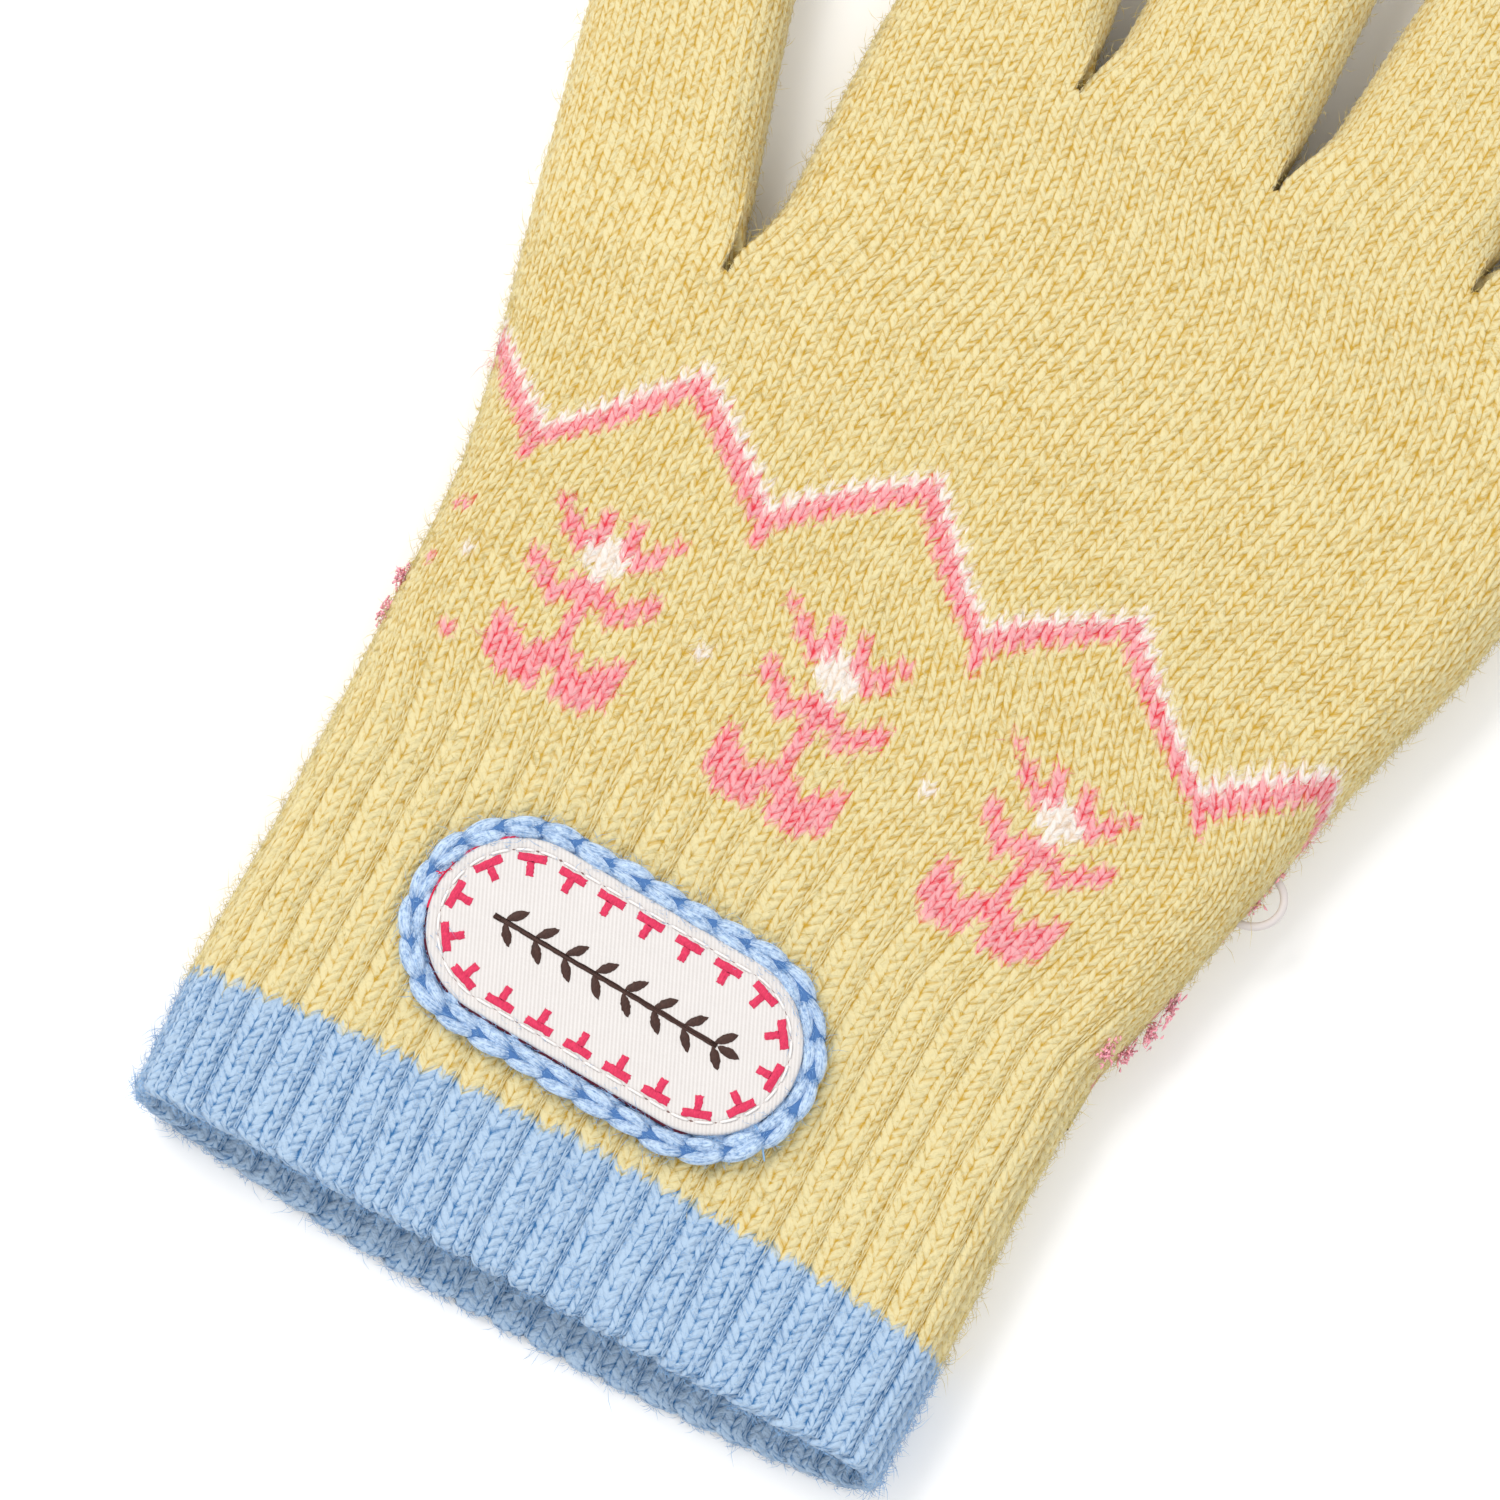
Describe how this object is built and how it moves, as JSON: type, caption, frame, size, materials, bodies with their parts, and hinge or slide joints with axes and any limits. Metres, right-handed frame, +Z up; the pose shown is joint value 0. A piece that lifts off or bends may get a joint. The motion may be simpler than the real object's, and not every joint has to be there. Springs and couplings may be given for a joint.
{
  "type": "knitted glove",
  "caption": "Knitted wool glove for the right hand, lying flat, with a ribbed wrist, a coloured rib band at the mouth and an oval label sewn on the back of the wrist.",
  "frame": {"origin": "under the middle of the glove's bounding box, on the surface that it lies on", "axes": "+Y from the cuff to the fingertips, +X towards the little finger, +Z up through the back of the hand"},
  "size_m": [0.1244, 0.2078, 0.0134],
  "materials": {
    "wool_yellow": "knitted wool, fuzzy, matte",
    "wool_blue": "rib knitted wool, fuzzy, matte",
    "label_white": "woven cotton twill label, matte",
    "braid_blue": "crochet chain of soft yarn, matte"
  },
  "bodies": {
    "root": {"hand": "wool_yellow", "fingers": "wool_yellow", "cuff_band": "wool_blue", "label": "label_white", "label_braid": "braid_blue"}
  },
  "joints": []
}
